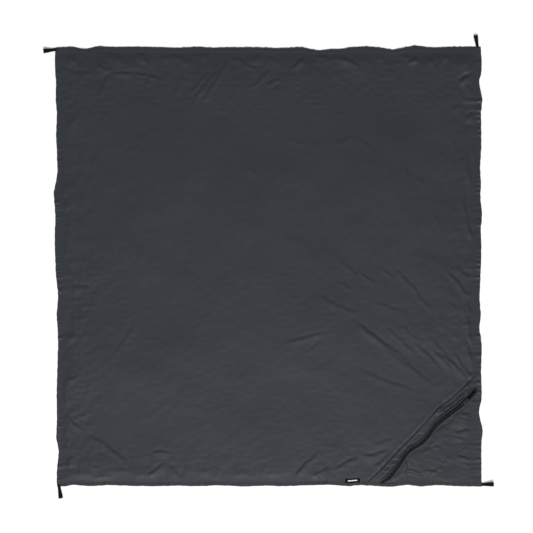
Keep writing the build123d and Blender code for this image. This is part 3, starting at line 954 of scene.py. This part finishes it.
def make_panel():
    """The pocket's triangle, from the zip to the corner. Its zip edge is folded under."""
    columns, rows = 220, 130
    share = np.linspace(0, 1, columns)[None]
    depth = (np.linspace(0, 1, rows)[:, None]) ** 1.15 * 0.965
    nominal = fold_gap + depth * (corner_reach - fold_gap)
    bottom, right = along_limits(nominal)
    along = bottom + share * (right - bottom)
    across = nominal + (1 - depth) ** 2 * zip_bend(along)
    x, y = from_zip(along, across)
    points = placed(x, y, pocket_height(x, y))
    piece = folded_cloth("panel_cloth", points, pocket_cloth, edge_first=True)
    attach(piece, "quilt")
    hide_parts("pocket_panel")
    return piece


def pocket_row(name, offset_of, height_of, node):
    """Stitches along the pocket, from hem to hem. offset_of gives their place across the zip's frame."""
    along = np.linspace(-0.5, 0.2, 900)
    across = offset_of(along)
    bottom, right = along_limits(across, hem_share=1.0)
    keep = (along > bottom + 1 * mm) & (along < right - 1 * mm)
    x, y = from_zip(along[keep], across[keep])
    piece = stitches(name, placed(x, y, height_of(x, y) + 0.1 * mm), hem_thread)
    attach(piece, "quilt")
    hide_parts(node)
    return piece


def zip_level(x, y):
    """How far the zip is let down where it runs in under the hems: 0 there and 1 at its full height."""
    return smooth(inside_hem(x, y) / (9 * mm))


def parting(along):
    """How far each half of the zip stands from the middle, above the slider, where it is open."""
    return 1.2 * mm * np.sin(math.pi * np.clip((along - 6.5 * mm) / (22.5 * mm), 0, 1))


def cloth_over_zip(x, y, sign):
    """The upper side of the placket or the panel, whichever covers this half of the zip."""
    return placket_height(x, y) if sign < 0 else pocket_height(x, y)


def make_tape(side, sign):
    """Half of the zip's tape: a thin woven strip, thicker near its inner edge, sewn under the cloth."""
    offsets = np.array([0.5, 0.8, 2, 3.4, 5, 6.5, 8, 9.5, 11, 12.3, 13.5]) * mm
    thick = np.where(np.arange(len(offsets)) == 1, 0.45 * mm, 0.3 * mm)
    shares = np.linspace(0, 1, 450)
    tops, undersides, flat_tops = [], [], []
    for offset, depth in zip(offsets, thick):
        bottom, right = along_limits(sign * offset, hem_share=0.7)
        along = bottom + shares * (right - bottom)
        x, y = from_zip(along, zip_bend(along) + sign * (offset + parting(along)))
        level = zip_level(x, y)
        lowest = face_height(x, y) + 0.15 * mm
        free = lowest + (tape_height - lowest) * level
        covered = cloth_over_zip(x, y, sign) - 0.65 * mm
        top = np.maximum(np.minimum(free, covered), lowest)
        tops.append(placed(x, y, top))
        undersides.append(placed(x, y, top - depth))
        flat_tops.append(np.stack([along, np.full_like(along, offset)], axis=-1))
    sections = np.stack(tops + undersides[::-1], axis=1)
    flat = np.stack(flat_tops + flat_tops[::-1], axis=1)
    if sign > 0:
        sections, flat = sections[:, ::-1], flat[:, ::-1]
    piece = strip_piece(f"tape_{side}", sections, tape_cloth, flat)
    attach(piece, "quilt")
    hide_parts(f"zip_tape_{side}")
    return piece


def make_coil(side, sign):
    """Half of the zip's coil: a flattened helix of nylon whose heads reach across the middle."""
    pitch, centre, swing, depth, wire = 1.3 * mm, 1.3 * mm, 1.55 * mm, 0.5 * mm, 0.28 * mm
    per_turn = 14
    bottom, right = along_limits(0.0, hem_share=1.0)
    turns = (right - bottom - 6 * mm) / pitch
    angle = np.arange(0, turns * 2 * math.pi, 2 * math.pi / per_turn)
    phase = 0 if sign > 0 else math.pi
    along = bottom + 2 * mm + angle / (2 * math.pi) * pitch + 0.12 * pitch * np.sin(2 * angle)
    across = zip_bend(along) + sign * (centre + parting(along) + swing * np.cos(angle + phase))
    x, y = from_zip(along, across)
    level = zip_level(*from_zip(along, zip_bend(along)))
    lowest = face_height(x, y) + 0.9 * mm
    height = lowest + (coil_middle - lowest) * level + depth * np.sin(angle + phase)
    piece = strip_piece(f"coil_{side}", tube_points(placed(x, y, height), wire), coil_nylon)
    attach(piece, "quilt")
    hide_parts(f"zip_coil_{side}")
    return piece


def paint_slider():
    """The slider keeps its CAD shape and gets worn black paint."""
    for name in ("slider_body", "slider_crown", "pull_tab"):
        node = frame["nodes"][name]
        node.data.materials.clear()
        node.data.materials.append(painted_metal)


def webbing_sections(path, normals, half_widths, thick, across):
    """Sections of a flat strip with rounded selvedges, along a path with a normal at each point."""
    outline = [(-1, -0.25), (-0.97, -0.5), (-0.6, -0.5), (0, -0.5), (0.6, -0.5), (0.97, -0.5), (1, -0.25)]
    outline += [(sideways, -up) for sideways, up in outline[::-1]]
    sections = np.zeros((len(path), len(outline), 3))
    flat = np.zeros((len(path), len(outline), 2))
    travelled = np.concatenate([[0], np.cumsum(np.linalg.norm(np.diff(path, axis=0), axis=1))])
    for i, (sideways, up) in enumerate(outline):
        sections[:, i] = path + across * (half_widths * sideways)[:, None] + normals * (thick * up)
        flat[:, i] = np.stack([travelled, half_widths * sideways], axis=-1)
    return sections, flat


def smooth_path(points, count):
    """Even points along a smooth curve through given ones."""
    fineness = 8
    points = np.array(points, float)
    places = np.concatenate([[0], np.cumsum(np.linalg.norm(np.diff(points, axis=0), axis=1))])
    fine = np.linspace(0, places[-1], count * fineness)
    straight = np.stack([np.interp(fine, places, column) for column in points.T], axis=-1)
    width = count * fineness // (3 * len(points))
    kernel = np.hanning(width + 2)
    kernel /= kernel.sum()
    before = 2 * straight[0] - straight[width:0:-1]
    after = 2 * straight[-1] - straight[-2 : -width - 2 : -1]
    padded = np.concatenate([before, straight, after])
    rounded = np.stack([np.convolve(column, kernel, mode="same") for column in padded.T], axis=-1)
    return rounded[width:-width][::fineness]


def upright(profile, base, run):
    """Points and normals of a profile of (along, up), stood over the line that leaves base along run."""
    tangent = unit_tangents(profile)
    path = base + profile[:, :1] * run + profile[:, 1:] * UP
    return path, -tangent[:, 1:] * run + tangent[:, :1] * UP


def make_ribbon():
    """The puller: a ribbon threaded through the pull tab and sewn to itself."""
    profile = [
        (46.5, -0.55), (36, -0.6), (24, -0.45), (20, -1.0), (17.4, -1.15), (16.1, -0.6),
        (15.9, 0.0), (16.1, 0.6), (17.4, 1.15), (20, 1.0), (24, 0.45), (36, 0.35), (47.5, 0.3),
    ]
    profile = smooth_path(np.array(profile) * mm, 90)
    zip_run = np.array([1, 1, 0]) / math.sqrt(2)
    sideways = np.array([1, -1, 0]) / math.sqrt(2)
    path, normals = upright(profile, slider_place, zip_run)
    half_widths = np.full(len(path), 3.0 * mm)
    sections, flat = webbing_sections(path, normals, half_widths, 0.55 * mm, sideways)
    piece = strip_piece("ribbon_puller", sections, black_webbing, flat)
    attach(piece, "pull")
    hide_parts("puller_ribbon")
    return piece


# --- Peg loops ---

# Outward direction, direction along the edge, lean towards that in degrees, and the opened tip's height in mm
LOOPS = {
    "top_left": ((-1, 0), (0, 1), -8, 7.5),
    "top_right": ((0, 1), (1, 0), -11.6, 7.0),
    "bottom_right": ((1, 0), (0, 1), 2, 7.5),
    "bottom_left": ((0, -1), (1, 0), 12.3, 7.0),
}


def make_loop(name):
    """A folded strip of webbing. Its two ends go in under the binding, and its fold stands open a little."""
    outward, along_edge, lean, tip = LOOPS[name]
    joint = JOINTS[f"loop_fold_{name}"]
    fold = np.array(joint["pos_m"])
    fold_x, fold_y = fold[:2]
    out = np.array([*outward, 0.0])
    edge = np.array([*along_edge, 0.0])
    angle = math.radians(lean)
    run = out * math.cos(angle) + edge * math.sin(angle)
    sideways = np.cross(run, UP)
    profile = [
        (-9, 1.35), (-4, 1.2), (0, 0.95), (8, 0.75), (20, 0.62), (29, 0.55), (34.3, 0.75), (36.6, 1.9),
        (37, tip * 0.5), (36.5, tip - 1.6), (34.1, tip - 0.5), (29, tip - 1.0), (22, 4.6),
        (12, 2.9), (4, 2.2), (-1, 2.0), (-4, 1.75), (-9, 1.6),
    ]
    profile = smooth_path(np.array(profile) * mm, 110)
    path, normals = upright(profile, np.array([fold_x, fold_y, 0]), run)
    half_widths = (4.7 + 1.9 * smooth(profile[:, 0] / (34 * mm))) * mm
    shift = placed(fold_x, fold_y, 0) - [fold_x, fold_y, 0]
    outwards = np.maximum(profile[:, :1], 0)
    path = path + shift * np.exp(-outwards / (60 * mm))
    sections, flat = webbing_sections(path, normals, half_widths, 0.85 * mm, sideways)
    piece = strip_piece(f"loop_{name}", sections, black_webbing, flat)
    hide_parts(f"peg_loop_{name}")
    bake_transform(piece)
    return piece


def make_tacks():
    """Zigzag bar tacks that hold the loops' tails in the binding."""
    steps = np.arange(0, 29)
    fine = np.linspace(0, len(steps) - 1, len(steps) * 4)
    tacks = []
    for name, (outward, along_edge, _, _) in LOOPS.items():
        fold = np.array(JOINTS[f"loop_fold_{name}"]["pos_m"])
        out, edge = np.array([*outward, 0.0]), np.array([*along_edge, 0.0])
        lengthwise = np.linspace(-5, 5, len(steps)) * mm
        sway = np.where(steps % 2, 0.85, -0.85) * mm
        points = fold - out * 4.1 * mm + edge * lengthwise[:, None] + out * sway[:, None]
        x, y = points[:, 0], points[:, 1]
        corners = placed(x, y, binding_height(x, y, 3 * mm, side_hem) + 0.3 * mm)
        path = np.stack([np.interp(fine, steps, column) for column in corners.T], axis=-1)
        tacks.append(tube_points(path, 0.24 * mm))
    tacks = np.array(tacks)
    piece = make_mesh("bar_tacks", tacks.reshape(-1, 3), tube_faces(*tacks.shape[:3]), black_thread)
    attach(piece, "quilt")
    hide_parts("loop_bar_tacks")
    return piece


# --- Label ---


def label_height(x, y):
    """The label's upper side: it lies on the face sheet, and on the binding where it reaches the hem."""
    depth = y + half_length
    over_hem = smooth((bottom_hem + 2.5 * mm - depth) / (2.5 * mm))
    return np.maximum(face_height(x, y), over_hem * (hem_top + 0.6 * mm)) + label_gap


def make_label():
    """A plain black woven label with a white bar woven into it, and no lettering."""
    low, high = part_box("woven_label")
    columns, rows = 64, 22
    x, y = np.meshgrid(np.linspace(low[0], high[0], columns), np.linspace(low[1], high[1], rows))
    middle_x, middle_y = (low[0] + high[0]) / 2, (low[1] + high[1]) / 2
    rounded = 0.25 * mm * (np.abs(x - middle_x) / (high[0] - low[0]) * 2) ** 8
    upper = placed(x, y, label_height(x, y) - rounded).reshape(-1, 3)
    flat = np.concatenate([np.stack([x, y], axis=-1).reshape(-1, 2)] * 2)
    faces = slab_faces(rows, columns)
    piece = make_mesh("label", np.concatenate([upper, upper - 0.3 * mm * UP]), faces, label_cloth, flat)
    piece.data.materials.append(white_thread)
    bar_half_length, bar_half_height = 15 * mm, 1.7 * mm
    for polygon in piece.data.polygons[: (rows - 1) * (columns - 1)]:
        centre = flat[list(polygon.vertices)].mean(axis=0)
        if abs(centre[0] - middle_x) < bar_half_length and abs(centre[1] - middle_y) < bar_half_height:
            polygon.material_index = 1
    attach(piece, "quilt")
    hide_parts("woven_label")
    return piece


def make_label_stitching():
    """Stitches round the label's four sides."""
    low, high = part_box("label_stitching")
    places = np.linspace(0, 4, 400)
    x = np.interp(places, range(5), [low[0], high[0], high[0], low[0], low[0]])
    y = np.interp(places, range(5), [low[1], low[1], high[1], high[1], low[1]])
    path = placed(x, y, label_height(x, y) + thread_gap)
    piece = stitches("label_stitches", path, black_thread, pitch=2.4 * mm, length=1.8 * mm, radius=0.2 * mm)
    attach(piece, "quilt")
    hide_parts("label_stitching")
    return piece


# --- Stage ---


def make_floor():
    """A plain pale floor, just clear of the quilt's underside."""
    bpy.ops.mesh.primitive_plane_add(size=30, location=(0, 0, -0.4 * mm))
    floor = bpy.context.object
    floor.name = "floor"
    shader = Shader("floor_paint", 0.9, specular=0.1)
    shader.base.inputs["Base Color"].default_value = (0.95, 0.94, 0.93, 1)
    floor.data.materials.append(shader.material)


def aim(lamp, direction):
    """Turns a lamp to shine along a direction and puts it in the scene."""
    lamp.rotation_euler = Vector(direction).to_track_quat("-Z", "Y").to_euler()
    bpy.context.scene.collection.objects.link(lamp)


def area_light(name, place, size, power):
    """A rectangular light that shines at the middle of the quilt."""
    light = bpy.data.lights.new(name, "AREA")
    light.shape = "RECTANGLE"
    light.size, light.size_y = size
    light.energy = power
    lamp = bpy.data.objects.new(name, light)
    lamp.location = place
    aim(lamp, -np.array(place, float))


def make_studio():
    """A soft sun from the front, a weaker light whose sheen shows low on the quilt, and a pale room."""
    sun = bpy.data.lights.new("front", "SUN")
    sun.angle = math.radians(22)
    sun.energy = 3.15
    sun.color = (1.0, 0.985, 0.97)
    aim(bpy.data.objects.new("front", sun), (-0.1, 0.98, -0.85))
    area_light("sheen", (-0.05, -1.15, 2.7), (1.5, 1.0), 15)
    world = bpy.data.worlds.new("studio")
    world.use_nodes = True
    background = world.node_tree.nodes["Background"]
    background.inputs["Color"].default_value = (0.88, 1.0, 1.08, 1)
    background.inputs["Strength"].default_value = 0.37
    bpy.context.scene.world = world
    bpy.context.scene.view_settings.view_transform = "Standard"


def make_camera():
    """Straight above the quilt and a little off its middle. view_width is how much ground it takes in."""
    view_width = 1.7487
    camera = bpy.data.cameras.new("camera")
    camera.lens = 85
    distance = view_width / 2 / (camera.sensor_width / 2 / camera.lens)
    holder = bpy.data.objects.new("camera", camera)
    holder.location = (-0.0076, 0.002, distance)
    bpy.context.scene.collection.objects.link(holder)
    bpy.context.scene.camera = holder


cloth_height = make_cloth_heights()
make_camera()
make_studio()
make_floor()
face = make_face()
backing = make_backing()
make_filling()
bindings = [make_binding(side) for side in SIDES]
outer_stitches = make_hem_stitching("outer", lambda hem: outer_row)
inner_stitches = make_hem_stitching("inner", lambda hem: hem - inner_row)
make_placket()
make_panel()
pocket_row(
    "seam_stitches",
    lambda along: seam_bend(along) - seam_to_zip + 2.5 * mm,
    placket_height,
    "pocket_seam_stitching",
)
pocket_row(
    "upper_zip_stitches",
    lambda along: zip_bend(along) - fold_gap - slot_opening(along) - 5 * mm,
    placket_height,
    "zip_stitching_upper",
)
pocket_row(
    "lower_zip_stitches",
    lambda along: zip_bend(along) + fold_gap + 5.5 * mm,
    pocket_height,
    "zip_stitching_lower",
)
for half, sign in (("upper", -1), ("lower", 1)):
    make_tape(half, sign)
    make_coil(half, sign)
paint_slider()
make_ribbon()
for loop_name in LOOPS:
    make_loop(loop_name)
make_tacks()
make_label()
make_label_stitching()
